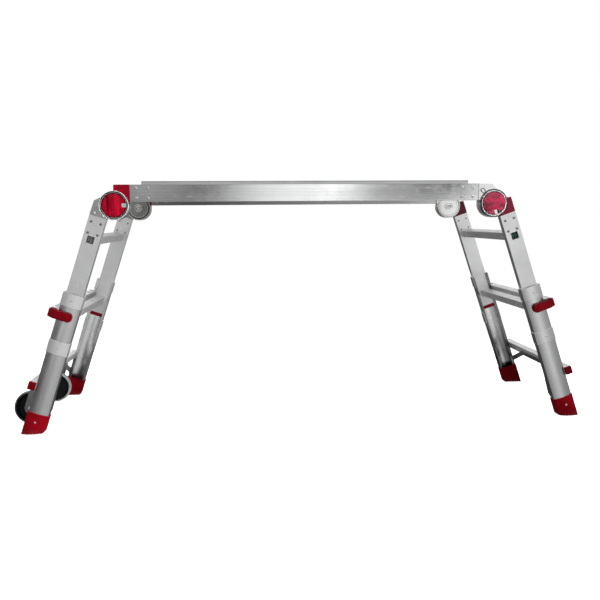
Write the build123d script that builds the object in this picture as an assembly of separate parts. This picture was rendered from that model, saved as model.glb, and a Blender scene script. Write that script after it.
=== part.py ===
from build123d import *
import math
import os

os.makedirs("parts", exist_ok=True)

# Folding work platform on two telescopic ladder legs.
# Frame: +Z up, floor at Z = 0, X along the deck, Y across it ("near" is -Y).
# Every leg and hinge piece is drawn once in an arm frame: n across the rail,
# s down the rail from the hinge axis, y outward from the middle plane.

# ------------------------------------------------------------ driving sizes, mm
HINGE_X = 695.0        # hinge axis, from the middle of the deck
HINGE_Z = 829.2        # hinge axis above the floor
LEG_ANGLE = 18.87      # leg from the vertical, open and locked
X_SHIFT = 29.71        # brings the middle of the whole box to X = 0

RAIL_N1, RAIL_N2 = 11.6, 73.3      # box rail across its depth, from the hinge axis
RAIL_YI, RAIL_YO = 250.0, 275.0    # box rail across its thickness
RAIL_WALL = 2.2
RAIL_ROUND = 1.2       # its outer corners
RAIL_START = 56.2      # rail ends here, measured from the hinge axis
INNER_END = 504.0      # lower end of the inner leg rail
CAP_END = 512.0        # lower end of the plastic cap on it
PITCH = 292.0          # rung spacing, and the stroke of the telescopic leg

RUNG = 31.0            # inner rung, square tube with ribbed faces
RUNG_N = 45.2
RUNG_S1 = 144.2
RUNG_S2 = RUNG_S1 + PITCH
RUNG_WALL = 2.0
RIB_PITCH, RIB_DEEP, RIB_WIDE = 5.2, 0.7, 1.5

OUT_N1, OUT_N2 = 9.0, 81.0         # outer rail, C section
OUT_YI, OUT_YEDGE, OUT_YCROWN = 247.0, 277.0, 285.0
OUT_START, OUT_END = 349.5, 856.0
SLIDE_GAP = 0.5        # play between inner and outer rail
COLLARS = ((349.5, 398.5), (530.0, 579.0))

ORUNG_N, ORUNG_H = 26.5, 30.0      # outer rung, ribbed tube: across the rail, and along it
ORUNG_S = (430.0, 716.0)
ORUNG_END = 279.0
RUNG_CAP = 8.0

HINGE_R = 52.4         # hinge disc
CORE_R = 50.0
CHEEK = 4.0            # hinge cheek thickness
CHEEK_OUT = 275.5      # inner face of the outer cheek
CHEEK_IN = 249.5       # inner face of the inner cheek
HINGE_END = 56.0       # hinge castings end here, against the rail
TONGUE_END = 127.0
AXLE_R, STEM_R = 14.0, 8.0
RUN_FIT = 0.05
KNOB_R = 43.3
RING_R = 43.6          # inside of the ring round the knob
KNOB_BAR = 21.5        # half width of the raised bar on the knob
KNOB_TRAVEL = 5.0

RIVET_S = (79.0, 120.5)
RIVET_N = (25.5, 60.5)

LEVER_TRAVEL = 10.0
PIN_R = 5.0
BUSH_R = 9.5

FOOT_TOP = 812.0
FOOT_WALL = 3.2        # boot rubber round the rail
TREAD_PITCH, TREAD_WIDE, TREAD_DEEP = 10.0, 3.0, 2.5
WHEEL_S, WHEEL_N, WHEEL_R = 841.0, 100.2, 65.0
WHEEL_Y1, WHEEL_Y2 = 139.0, 167.0
HUB_R = 58.0
WHEEL_AXLE_R = 8.0

DECK_X = 597.3
DECK_TOP = 914.1
DECK_BASE = HINGE_Z + RAIL_N2 + 0.05   # the planks lie on the platform rails
PLANK_W, PLANK_GAP = 182.8, 0.4

SIN, COS = math.sin(math.radians(LEG_ANGLE)), math.cos(math.radians(LEG_ANGLE))


# ------------------------------------------------------------ drawing helpers
def face_of(points, arcs=None):
    """A flat face through 3-D points; arcs maps a start index to an arc's middle point."""
    arcs = arcs or {}
    edges = []
    for i, p in enumerate(points):
        q = points[(i + 1) % len(points)]
        if i in arcs:
            edges.append(Edge.make_three_point_arc(p, arcs[i], q))
        else:
            edges.append(Edge.make_line(p, q))
    return Face(Wire(edges))


def rounded(face, radius, picks=None):
    """Round the corners of a flat face, or only those that picks chooses."""
    chosen = [v for v in face.vertices() if picks is None or picks(v)]
    return face.fillet_2d(radius, chosen)


def prism_y(points, y1, y2, radius=0.0, picks=None):
    """Outline in (n, s), drawn out from y1 to y2."""
    f = face_of([(n, -y1, -s) for n, s in points])
    if radius:
        f = rounded(f, radius, picks)
    return Solid.extrude(f, Vector(0, -(y2 - y1), 0))


def prism_s(points, s1, s2, radius=0.0, picks=None, arcs=None):
    """Section in (n, y), drawn down the rail from s1 to s2."""
    arcs3 = {k: (a[0], -a[1], -s1) for k, a in (arcs or {}).items()}
    f = face_of([(n, -y, -s1) for n, y in points], arcs3)
    if radius:
        f = rounded(f, radius, picks)
    return Solid.extrude(f, Vector(0, 0, -(s2 - s1)))


def box(n1, n2, y1, y2, s1, s2):
    return prism_s([(n1, y1), (n2, y1), (n2, y2), (n1, y2)], s1, s2)


def cyl(n, s, r, y1, y2):
    """Round bar across the rail, from y1 outward to y2."""
    return Solid.make_cylinder(r, y2 - y1, Plane(origin=(n, -y1, -s), z_dir=(0, -1, 0)))


def turned(n, s, profile):
    """A turned piece about the cross axis at (n, s); profile is (radius, y)."""
    f = face_of([(n + r, -y, -s) for r, y in profile])
    return Solid.revolve(f, 360, Axis((n, 0, -s), (0, 1, 0)))


def coil(n, s, r1, r2, y1, y2, turns):
    """Envelope of a pressed coil spring, with one ridge for each turn."""
    step = (y2 - y1) / turns
    profile = [(r1, y1)]
    for k in range(turns):
        profile += [(r2 - 0.9, y1 + k * step), (r2, y1 + (k + 0.5) * step)]
    profile += [(r2 - 0.9, y2), (r1, y2)]
    return turned(n, s, profile)


LEG = Location((HINGE_X, 0, HINGE_Z), (0, -LEG_ANGLE, 0))
ARM = Location((HINGE_X, 0, HINGE_Z), (0, 90, 0))


def far(shape):
    return shape.mirror(Plane.XZ)


def on_leg(shape, side):
    w = shape.moved(LEG)
    return w if side > 0 else w.mirror(Plane.YZ)


def on_deck(shape, side):
    w = shape.mirror(Plane.YZ).moved(ARM)
    return w if side > 0 else w.mirror(Plane.YZ)


def save(name, shapes):
    solids = []
    for shape in shapes:
        solids += list(shape.moved(Location((X_SHIFT, 0, 0))).solids())
    export_step(solids[0] if len(solids) == 1 else Compound(children=solids), f"parts/{name}.step")


def both(shape):
    return [shape, far(shape)]


# ------------------------------------------------------------ rivets and their holes
def rivet(n, s, r):
    head = turned(n, s, [(0, 268.0), (2.5, 268.0), (2.5, 275.0), (r, 275.0), (r, 275.4), (r * 0.72, 276.2), (0, 276.6)])
    return head


def rivet_holes(spots):
    holes = [cyl(n, s, 2.55, 266.0, 277.0) for n, s in spots]
    out = holes[0]
    for h in holes[1:]:
        out = out + h
    return out


LEG_RIVETS = [(n, s) for n in RIVET_N for s in RIVET_S]


# ------------------------------------------------------------ inner leg rails and rungs
def box_rail(s1, s2):
    n1, n2, y1, y2, w = RAIL_N1, RAIL_N2, RAIL_YI, RAIL_YO, RAIL_WALL
    outer = prism_s([(n1, y1), (n2, y1), (n2, y2), (n1, y2)], s1, s2, RAIL_ROUND)
    inner = prism_s([(n1 + w, y1 + w), (n2 - w, y1 + w), (n2 - w, y2 - w), (n1 + w, y2 - w)], s1 - 1, s2 + 1, 0.6)
    return outer - inner


def rung_hole(s):
    h = RUNG / 2 + 0.05
    return box(RUNG_N - h, RUNG_N + h, RAIL_YI - 1, RAIL_YO + 1, s - h, s + h)


inner_rail = box_rail(RAIL_START, INNER_END) - rung_hole(RUNG_S1) - rung_hole(RUNG_S2) - rivet_holes(LEG_RIVETS)


def ribbed_tube(n, s, wide, high, wall, half, r):
    """Tube right across the part, from -half to +half in Y; wide is across the rail, high along it."""
    def section(a, b, length, rad):
        f = face_of([(n - a, length, -s - b), (n + a, length, -s - b), (n + a, length, -s + b), (n - a, length, -s + b)])
        f = rounded(f, rad)
        return Solid.extrude(f, Vector(0, -2 * length, 0))
    a, b = wide / 2, high / 2
    tube = section(a, b, half, r) - section(a - wall, b - wall, half + 1, max(r - wall, 0.4))
    # tread ribs: shallow grooves along all four faces
    d, g = RIB_DEEP, RIB_WIDE / 2
    grooves = []
    for k in (-2, -1, 0, 1, 2):
        c = k * RIB_PITCH
        for na, nb, sa, sb in ((c - g, c + g, -b - 1, -b + d), (c - g, c + g, b - d, b + 1), (-a - 1, -a + d, c - g, c + g), (a - d, a + 1, c - g, c + g)):
            grooves.append(box(n + na, n + nb, -half - 1, half + 1, s + sa, s + sb))
    return (tube - grooves).solids()[0]


inner_rung_1 = ribbed_tube(RUNG_N, RUNG_S1, RUNG, RUNG, RUNG_WALL, RAIL_YO, 2.4)
inner_rung_2 = ribbed_tube(RUNG_N, RUNG_S2, RUNG, RUNG, RUNG_WALL, RAIL_YO, 2.4)

w = RAIL_WALL + 0.2
end_cap = prism_s(
    [(RAIL_N1, RAIL_YI), (RAIL_N2, RAIL_YI), (RAIL_N2, RAIL_YO), (RAIL_N1, RAIL_YO)], INNER_END, CAP_END, RAIL_ROUND
) + prism_s(
    [(RAIL_N1 + w, RAIL_YI + w), (RAIL_N2 - w, RAIL_YI + w), (RAIL_N2 - w, RAIL_YO - w), (RAIL_N1 + w, RAIL_YO - w)],
    INNER_END - 16, INNER_END, 1.2,
)

# ------------------------------------------------------------ outer leg rails
CROWN = ((OUT_N1 + OUT_N2) / 2, OUT_YCROWN)


def outer_outline(grow, s1, s2):
    g = grow
    pts = [(OUT_N2 + g, OUT_YEDGE + g * 0.4), (OUT_N2 + g, OUT_YI - g), (OUT_N1 - g, OUT_YI - g), (OUT_N1 - g, OUT_YEDGE + g * 0.4)]
    return prism_s(pts, s1, s2, arcs={3: (CROWN[0], CROWN[1] + g)})


CH_N1, CH_N2 = RAIL_N1 - SLIDE_GAP, RAIL_N2 + SLIDE_GAP
CH_Y1, CH_Y2 = RAIL_YI - 0.6, RAIL_YO + 0.6

outer_rail = outer_outline(0, OUT_START, OUT_END)
outer_rail = outer_rail - box(CH_N1, CH_N2, CH_Y1, CH_Y2, OUT_START - 1, OUT_END + 1)
outer_rail = outer_rail - box(CH_N1 + 5, CH_N2 - 5, OUT_YI - 1, CH_Y1 + 1, OUT_START - 1, OUT_END + 1)
outer_rail = outer_rail - prism_s(
    [(CH_N2 - 2.5, CH_Y2 - 1), (CH_N2 - 2.5, 276.6), (CH_N1 + 3.0, 276.6), (CH_N1 + 3.0, CH_Y2 - 1)][::-1],
    OUT_START - 1, OUT_END + 1, arcs={1: ((CH_N1 + CH_N2) / 2, 282.2)},
)
outer_rail = outer_rail - box(CH_N2 + 2.4, OUT_N2 - 2.4, OUT_YI + 3, OUT_YEDGE - 3, OUT_START - 1, OUT_END + 1)
outer_rail = outer_rail - cyl(RUNG_N, RUNG_S2, BUSH_R + 0.05, 270, 290)
outer_rail = outer_rail.solids()[0] if len(outer_rail.solids()) == 1 else outer_rail


def collar(s1, s2):
    outer = prism_s(
        [(OUT_N2 + 1.8, 278.8), (OUT_N2 + 1.8, OUT_YI), (OUT_N1 - 1.8, OUT_YI), (OUT_N1 - 1.8, 278.8)],
        s1, s2, arcs={3: (CROWN[0], 286.8)},
    )
    ends = [e for e in outer.edges() if abs(abs(e.center().Z) - s1) < 0.01 or abs(abs(e.center().Z) - s2) < 0.01]
    ends = [e for e in ends if abs(e.center().Y + OUT_YI) > 0.5]
    outer = outer.chamfer(0.4, None, ends)
    return outer - outer_outline(0.05, s1 - 1, s2 + 1)


collars = [collar(a, b) for a, b in COLLARS]

# ------------------------------------------------------------ outer rungs, caps, braces
ORN1, ORN2 = OUT_N2, OUT_N2 + ORUNG_N
ORN = (ORN1 + ORN2) / 2
outer_rungs = [ribbed_tube(ORN, s, ORUNG_N, ORUNG_H, RUNG_WALL, ORUNG_END, 2.4) for s in ORUNG_S]


def rung_cap(s, inset):
    a, b = ORUNG_N / 2 - inset, ORUNG_H / 2 - inset
    head = prism_y([(ORN - a, s - b), (ORN + a, s - b), (ORN + a, s + b), (ORN - a, s + b)], ORUNG_END, ORUNG_END + RUNG_CAP, 3.0)
    head = head.fillet(1.6, [e for e in head.edges() if abs(e.center().Y + ORUNG_END + RUNG_CAP) < 0.01])
    k, m = ORUNG_N / 2 - RUNG_WALL - 0.15, ORUNG_H / 2 - RUNG_WALL - 0.15
    plug = prism_y([(ORN - k, s - m), (ORN + k, s - m), (ORN + k, s + m), (ORN - k, s + m)], ORUNG_END - 14, ORUNG_END, 1.0)
    return head + plug


# the upper caps stay behind the levers
rung_caps = [rung_cap(ORUNG_S[0], 2.2), rung_cap(ORUNG_S[1], 0.0)]

# one bent bar for each leg: flat along the lower rung, then down to both rails
BAR_S, BAR_END, BAR_W = ORUNG_S[1] + 8.0, 783.0, 20.0
BAR_N1, BAR_N2 = OUT_N2 - 3.1, OUT_N2 - 0.1
BAR_Y1, BAR_Y2 = 104.0, OUT_YI - 0.05
slope = math.atan2(BAR_END - BAR_S, BAR_Y2 - BAR_Y1)
up, mit = BAR_W / 2 / math.cos(slope), BAR_W / 2 * math.tan(slope / 2)
half_top = [(BAR_Y1 + mit, BAR_S - BAR_W / 2), (BAR_Y2, BAR_END - up)]
half_low = [(BAR_Y2, BAR_END + up), (BAR_Y1 - mit, BAR_S + BAR_W / 2)]
outline = half_top + half_low + [(-y, s) for y, s in half_low[::-1]] + [(-y, s) for y, s in half_top[::-1]]
f = face_of([(BAR_N1, -y, -s) for y, s in outline])
brace = Solid.extrude(f, Vector(BAR_N2 - BAR_N1, 0, 0))
tab = box(68.5, BAR_N2, BAR_Y2 - 3.0, BAR_Y2, BAR_END - 15, BAR_END + 15)
for a, b in ((1, BAR_END - 9), (1, BAR_END + 9)):
    tab = tab + cyl(73.5, b, 3.2, BAR_Y2 - 4.6, BAR_Y2 - 2.5)
brace = brace + tab + far(tab)

# ------------------------------------------------------------ feet


def floor_s(n):
    return (HINGE_Z + n * SIN) / COS


def foot():
    g = FOOT_WALL
    n1, n2, y1, y2 = OUT_N1 - g, OUT_N2 + g, OUT_YI - g, OUT_YEDGE + 0.4 * g
    arc = {3: (CROWN[0], -(OUT_YCROWN + g), -FOOT_TOP)}
    f = face_of([(n, -y, -FOOT_TOP) for n, y in ((n2, y2), (n2, y1), (n1, y1), (n1, y2))], arc)
    f = rounded(f, 5.0, lambda v: -v.Y > 270)
    f = rounded(f, 4.0, lambda v: -v.Y < y1 + 0.01)
    body = Solid.extrude(f, Vector(0, 0, -100.0))
    # cut to the floor, with a round toe on the inner side
    side = [(n1 - 1, FOOT_TOP - 1), (n2 + 1, FOOT_TOP - 1), (n2 + 1, floor_s(n2 + 1)), (n1 - 1, floor_s(n1 - 1))]
    cut = prism_y(side, 230, 300, 15.0, lambda v: v.X < 20 and -v.Z > 850)
    body = (body & cut).solids()[0]
    rim = [e for e in body.edges() if abs(e.center().Z + FOOT_TOP) < 0.01]
    body = body.fillet(1.0, rim)
    # tread: grooves across the sole
    for k in range(7):
        n = 20.0 + TREAD_PITCH * k
        s, h, d = floor_s(n), TREAD_WIDE / 2, TREAD_DEEP
        body = body - prism_y([(n - h * COS - 2 * SIN, s - h * SIN + 2 * COS), (n + h * COS - 2 * SIN, s + h * SIN + 2 * COS),
                               (n + h * COS + d * SIN, s + h * SIN - d * COS), (n - h * COS + d * SIN, s - h * SIN - d * COS)], 230, 300)
    return body - outer_outline(0.12, FOOT_TOP - 10, OUT_END + 0.2)


boot = foot()

# ------------------------------------------------------------ lock lever, pin, guide
guide = turned(RUNG_N, RUNG_S2, [
    (7.6, 276.0), (BUSH_R, 276.0), (BUSH_R, 285.3), (13.0, 285.3), (13.0, 287.0), (BUSH_R, 287.0),
    (BUSH_R, 296.0), (PIN_R + RUN_FIT, 296.0), (PIN_R + RUN_FIT, 293.0), (7.6, 293.0)])
lock_spring = coil(RUNG_N, RUNG_S2, PIN_R + 0.5, 7.3, 288.5, 293.0, 3)
lock_pin = turned(RUNG_N, RUNG_S2, [
    (0, 275.6), (PIN_R - 0.8, 275.6), (PIN_R, 276.2), (7.2, 276.2), (7.2, 278.2), (PIN_R, 278.2), (PIN_R, 300.0), (0, 300.0)])


def lever_bar():
    s1, s2, y1, y2 = 418.6, 451.4, 287.7, 301.0
    pts = [(24.0, s1), (89.0, s1), (92.0, 414.6), (109.0, 416.4), (109.0, 447.0), (91.0, s2 - 0.8), (24.0, s2)]
    f = face_of([(n, -y1, -s) for n, s in pts])
    f = rounded(f, 14.5, lambda v: v.X < 30)
    f = rounded(f, 3.0, lambda v: v.X > 108)
    body = Solid.extrude(f, Vector(0, -(y2 - y1), 0))
    top = [e for e in body.edges() if abs(e.center().Y + y2) < 0.01]
    body = body.fillet(3.0, top)
    # domed boss over the pin
    body = body + turned(RUNG_N, RUNG_S2, [(0, y2 - 0.6), (9.5, y2 - 0.6), (9.0, y2 + 0.5), (6.5, y2 + 1.2), (0, y2 + 1.5)])
    body = body - cyl(RUNG_N, RUNG_S2, 14.0, 287.0, 287.9) - cyl(RUNG_N, RUNG_S2, BUSH_R + 0.6, 287.0, 297.0)
    body = body - cyl(RUNG_N, RUNG_S2, PIN_R + 0.02, 296.0, 300.0)
    # hollow behind the finger end
    return body - prism_y([(62.0, 423.0), (104.0, 423.0), (104.0, 442.0), (62.0, 446.0)], 286.0, 297.0, 3.0)


lever = lever_bar()

# ------------------------------------------------------------ hinges
AXIS_HOLE = cyl(0, 0, AXLE_R + RUN_FIT, 230, 300)
CHEEK_OUT2 = CHEEK_OUT + CHEEK
CHEEK_IN2 = CHEEK_IN - CHEEK - 1.0


def hollow_tongue(s1, s2):
    n1, n2, y1, y2 = RAIL_N1 + 2.4, RAIL_N2 - 2.4, RAIL_YI + 2.4, RAIL_YO - 2.4
    solid = prism_s([(n1, y1), (n2, y1), (n2, y2), (n1, y2)], s1, s2, 2.0)
    return solid - box(n1 + 3.5, n2 - 3.5, y1 + 3.5, y2 - 3.5, s1 + 12, s2 + 1)


def cheek(y1, y2):
    wing = [(RAIL_N1, HINGE_END), (72.2, HINGE_END), (71.0, 6.0), (67.0, 1.0), (45.0, -18.5), (0, 0), (RAIL_N1, 40.0)]
    return cyl(0, 0, HINGE_R, y1, y2) + prism_y(wing, y1, y2)


def fork():
    web = prism_y([(RAIL_N1, HINGE_END), (72.2, HINGE_END), (71.0, 6.0), (68.0, 3.0), (20, 3.0), (RAIL_N1, 20)], CHEEK_IN, CHEEK_OUT)
    web = web - cyl(0, 0, CORE_R + 1.5, CHEEK_IN - 1, CHEEK_OUT + 1)
    outer, inner = cheek(CHEEK_OUT, CHEEK_OUT2), cheek(CHEEK_IN2, CHEEK_IN)
    # two raised rings round the knob, and two on the inner cheek
    base, tip = CHEEK_OUT2 - 1, 287.2
    rim_out = turned(0, 0, [(48.3, base), (HINGE_R, base), (HINGE_R, tip - 2.0), (HINGE_R - 0.6, tip - 0.6), (HINGE_R - 1.6, tip),
                            (49.6, tip), (48.7, tip - 0.6), (48.3, tip - 1.6)])
    rim_mid = turned(0, 0, [(RING_R, base), (47.0, base), (47.0, tip - 2.2), (46.4, tip - 1.0), (45.4, tip - 0.5), (44.4, tip - 0.8), (RING_R, tip - 1.8)])
    foot, low = CHEEK_IN2 + 1, CHEEK_IN2 - 2.6
    rim_in = turned(0, 0, [(47.6, foot), (HINGE_R, foot), (HINGE_R, low + 1.6), (HINGE_R - 1.4, low), (49.0, low), (47.6, low + 1.6)])
    rim_in = rim_in + turned(0, 0, [(38.0, foot), (42.0, foot), (42.0, low + 2.2), (41.2, low + 1.2), (38.8, low + 1.2), (38.0, low + 2.2)])
    rim_out = rim_out + rim_mid
    body = web + outer + inner + rim_out + rim_in + hollow_tongue(HINGE_END - 2, TONGUE_END)
    return body - AXIS_HOLE - rivet_holes(LEG_RIVETS)


def core():
    body = cyl(0, 0, CORE_R, RAIL_YI, RAIL_YO) + box(20, 64, 254, 271, 0, HINGE_END + 4) + hollow_tongue(HINGE_END + 0.2, TONGUE_END)
    return body - cyl(0, 0, AXLE_R + 0.02, 230, 300) - rivet_holes(LEG_RIVETS)


def cover():
    pts = [(RAIL_N1, HINGE_END), (RAIL_N2, HINGE_END), (RAIL_N2, -1.0), (44.0, -1.0), (0, 0), (RAIL_N1, 40.0)]
    f = face_of([(n, -RAIL_YI, -s) for n, s in pts])
    f = rounded(f, 3.0, lambda v: v.X > 60)
    body = Solid.extrude(f, Vector(0, -(RAIL_YO - RAIL_YI), 0))
    body = body - cyl(0, 0, CORE_R + 1.0, 240, 290)
    return body - box(19.85, 64.15, 253.85, 271.15, -40, HINGE_END + 1)


axle = turned(0, 0, [
    (0, 240.0), (18.0, 240.0), (18.0, CHEEK_IN2 - 0.3), (AXLE_R, CHEEK_IN2 - 0.3), (AXLE_R, CHEEK_OUT2 - 0.1),
    (STEM_R + 0.06, CHEEK_OUT2 - 0.1), (STEM_R + 0.06, 246.0), (0, 246.0)])
knob_spring = coil(0, 0, 4.2, 7.4, 246.0, 250.6, 3)


def knob():
    low, flank, top = 284.7, 286.4, 289.4
    disc = turned(0, 0, [(0, low), (KNOB_R, low), (KNOB_R, flank + 0.6), (KNOB_R - 0.8, flank + 1.4), (KNOB_R - 2.0, flank + 1.4), (KNOB_R - 2.8, flank), (0, flank)])
    # wide raised bar across the button, cut to its round edge
    h = KNOB_BAR
    bar = prism_y([(-60, -h), (60, -h), (60, h), (-60, h)], flank - 0.5, top) & cyl(0, 0, KNOB_R - 1.6, flank - 1, top + 1)
    bar = bar.solids()[0]
    bar = bar.fillet(1.3, [e for e in bar.edges() if abs(e.center().Y + top) < 0.01])
    ridges = [prism_y([(-27, c - 1.2), (27, c - 1.2), (27, c + 1.2), (-27, c + 1.2)], top - 0.7, top + 1, 1.1) for c in (-12.0, 0.0, 12.0)]
    bar = bar - ridges
    notch = prism_y([(-7.5, 25.5), (7.5, 25.5), (7.5, 60.0), (-7.5, 60.0)], 280, 292, 2.0, lambda v: -v.Z < 30)
    stem = cyl(0, 0, STEM_R, 256.0, 285.0)
    return disc + bar + stem - notch


fork_1, core_1, cover_1, knob_1 = fork(), core(), cover(), knob()

# ------------------------------------------------------------ wheels on one leg
R = HUB_R
hub = turned(WHEEL_N, WHEEL_S, [
    (WHEEL_AXLE_R + RUN_FIT, WHEEL_Y1), (15.0, WHEEL_Y1), (17.0, WHEEL_Y1 + 1.5), (18.5, WHEEL_Y1 + 8), (R - 10, WHEEL_Y1 + 9), (R - 6.5, WHEEL_Y1 + 3),
    (R - 5, WHEEL_Y1 + 2), (R, WHEEL_Y1 + 2), (R, WHEEL_Y2 - 2), (R - 5, WHEEL_Y2 - 2), (R - 6.5, WHEEL_Y2 - 3), (R - 10, WHEEL_Y2 - 9),
    (18.5, WHEEL_Y2 - 8), (17.0, WHEEL_Y2 - 1.5), (15.0, WHEEL_Y2), (WHEEL_AXLE_R + RUN_FIT, WHEEL_Y2)])
# five ribs in each face of the hub
for k in range(5):
    ang = math.radians(72 * k + 18)
    ca, sa = math.cos(ang), math.sin(ang)
    for ya, yb in ((WHEEL_Y1 + 4.5, WHEEL_Y1 + 10), (WHEEL_Y2 - 10, WHEEL_Y2 - 4.5)):
        rib = [(16.0, -2.2), (R - 6.0, -2.2), (R - 6.0, 2.2), (16.0, 2.2)]
        hub = hub + prism_y([(WHEEL_N + r * ca - q * sa, WHEEL_S + r * sa + q * ca) for r, q in rib], ya, yb)
hub = hub.solids()[0]
tyre = turned(WHEEL_N, WHEEL_S, [
    (R, WHEEL_Y1 + 2), (R + 2.4, WHEEL_Y1 + 1), (R + 5.0, WHEEL_Y1 + 2.6), (WHEEL_R - 0.4, WHEEL_Y1 + 6.5), (WHEEL_R, WHEEL_Y1 + 10), (WHEEL_R, WHEEL_Y2 - 10),
    (WHEEL_R - 0.4, WHEEL_Y2 - 6.5), (R + 5.0, WHEEL_Y2 - 2.6), (R + 2.4, WHEEL_Y2 - 1), (R, WHEEL_Y2 - 2)])


def wheel_bracket():
    low = ORUNG_S[1] + ORUNG_H / 2
    y1, y2 = WHEEL_Y2 + 2.6, WHEEL_Y2 + 6.6
    plate = prism_y([(82.0, low), (106.0, low), (123.0, 778.0), (123.0, 846.0), (112.0, 862.0), (91.0, 862.0), (82.0, 846.0)], y1, y2, 5.0,
                    lambda v: -v.Z > low + 2)
    shelf = box(82.0, 106.0, y1 - 26, y2, low, low + 3.0)
    spacer = cyl(WHEEL_N, WHEEL_S, 12.0, WHEEL_Y2 + 0.3, y1)
    stub = cyl(WHEEL_N, WHEEL_S, WHEEL_AXLE_R, WHEEL_Y1 - 2, y2)
    head = turned(WHEEL_N, WHEEL_S, [(0, WHEEL_Y1 - 6.5), (9.0, WHEEL_Y1 - 6.5), (12.0, WHEEL_Y1 - 4.5), (12.0, WHEEL_Y1 - 0.3), (0, WHEEL_Y1 - 0.3)])
    nut = prism_y([(WHEEL_N + 11.0 * math.cos(a), WHEEL_S + 11.0 * math.sin(a)) for a in (math.radians(60 * k) for k in range(6))], y2, y2 + 6.0)
    end = turned(WHEEL_N, WHEEL_S, [(0, y2), (6.0, y2), (6.0, y2 + 8.6), (5.0, y2 + 9.6), (0, y2 + 9.6)])
    return plate + shelf + spacer + stub + head + nut + end


bracket = wheel_bracket()

# ------------------------------------------------------------ platform frame and deck
rail_end = HINGE_X - RAIL_START


def deck_rail():
    z1, z2, w = HINGE_Z + RAIL_N1, HINGE_Z + RAIL_N2, RAIL_WALL
    def section(y1, y2, a, b, half, r):
        f = face_of([(-half, -y1, a), (-half, -y2, a), (-half, -y2, b), (-half, -y1, b)])
        return Solid.extrude(rounded(f, r), Vector(2 * half, 0, 0))
    tube = section(RAIL_YI, RAIL_YO, z1, z2, rail_end, RAIL_ROUND)
    tube = tube - section(RAIL_YI + w, RAIL_YO - w, z1 + w, z2 - w, rail_end + 1, 0.6)
    for side in (-1, 1):
        for n, s in LEG_RIVETS:
            tube = tube - on_deck(cyl(n, s, 2.55, 266.0, 277.0), side)
    return tube


platform_rail = deck_rail()


def plank(y0):
    z1, z2, half = DECK_BASE, DECK_TOP, PLANK_W / 2
    def slab(ya, yb, za, zb, length):
        f = face_of([(-length, ya, za), (-length, yb, za), (-length, yb, zb), (-length, ya, zb)])
        return Solid.extrude(f, Vector(2 * length, 0, 0))
    body = slab(y0 - half, y0 + half, z1, z2, DECK_X)
    cell = (PLANK_W - 2 * 2.0 - 2 * 1.6) / 3
    for k in range(3):
        ya = y0 - half + 2.0 + k * (cell + 1.6)
        body = body - slab(ya, ya + cell, z1 + 1.5, z2 - 2.6, DECK_X + 1)
    count = 13
    for k in range(count):
        yc = y0 - half + PLANK_W * (k + 0.5) / count
        body = body - slab(yc - 1.7, yc + 1.7, z2 - 1.1, z2 + 1, DECK_X + 1)
    return body


planks = [plank(k * (PLANK_W + PLANK_GAP)) for k in (-1, 0, 1)]


def cross_member(x):
    z2 = DECK_BASE - 0.05
    z1 = z2 - 25.0
    def section(inset, half, r):
        a, b = x - 20 + inset, x + 20 - inset
        f = face_of([(a, half, z1 + inset), (b, half, z1 + inset), (b, half, z2 - inset), (a, half, z2 - inset)])
        return Solid.extrude(rounded(f, r), Vector(0, -2 * half, 0))
    return section(0, RAIL_YI, 2.4) - section(2.0, RAIL_YI + 1, 0.6)


cross_members = [cross_member(x) for x in (-560, -190, 190, 560)]

# ------------------------------------------------------------ write every node
leg_rivet_set = [rivet(n, s, 3.9) for n, s in LEG_RIVETS]

# platform body
save("platform_rail_near", [platform_rail])
save("platform_rail_far", [far(platform_rail)])
save("deck_planks", planks)
save("deck_cross_members", cross_members)
save("left_hinge_cores", [on_deck(p, -1) for p in both(core_1)])
save("left_hinge_covers", [on_deck(p, -1) for p in both(cover_1)])
save("left_hinge_axles", [on_deck(p, -1) for p in both(axle)])
save("left_knob_springs", [on_deck(p, -1) for p in both(knob_spring)])
save("right_hinge_forks", [on_deck(p, 1) for p in both(fork_1)])
save("platform_rivets", [on_deck(p, side) for side in (-1, 1) for r in leg_rivet_set for p in both(r)])

for side, name in ((-1, "left"), (1, "right")):
    # inner ladder
    save(f"{name}_inner_rail_near", [on_leg(inner_rail, side)])
    save(f"{name}_inner_rail_far", [on_leg(far(inner_rail), side)])
    save(f"{name}_inner_rungs", [on_leg(inner_rung_1, side), on_leg(inner_rung_2, side)])
    save(f"{name}_inner_end_caps", [on_leg(p, side) for p in both(end_cap)])
    save(f"{name}_inner_rivets", [on_leg(p, side) for r in leg_rivet_set for p in both(r)])
    # outer ladder
    save(f"{name}_outer_rail_near", [on_leg(outer_rail, side)])
    save(f"{name}_outer_rail_far", [on_leg(far(outer_rail), side)])
    save(f"{name}_collars", [on_leg(p, side) for c in collars for p in both(c)])
    save(f"{name}_outer_rungs", [on_leg(p, side) for p in outer_rungs])
    save(f"{name}_rung_caps", [on_leg(p, side) for c in rung_caps for p in both(c)])
    save(f"{name}_braces", [on_leg(brace, side)])
    save(f"{name}_feet", [on_leg(p, side) for p in both(boot)])
    save(f"{name}_lock_guides", [on_leg(p, side) for p in both(guide)])
    save(f"{name}_lock_springs", [on_leg(p, side) for p in both(lock_spring)])
    # lock levers, one each side
    for end, flip in (("near", False), ("far", True)):
        put = (lambda p: far(p)) if flip else (lambda p: p)
        save(f"{name}_lever_{end}", [on_leg(put(lever), side)])
        save(f"{name}_lock_pin_{end}", [on_leg(put(lock_pin), side)])

save("left_hinge_forks", [on_leg(p, -1) for p in both(fork_1)])
save("right_hinge_cores", [on_leg(p, 1) for p in both(core_1)])
save("right_hinge_covers", [on_leg(p, 1) for p in both(cover_1)])
save("right_hinge_axles", [on_leg(p, 1) for p in both(axle)])
save("right_knob_springs", [on_leg(p, 1) for p in both(knob_spring)])

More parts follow.
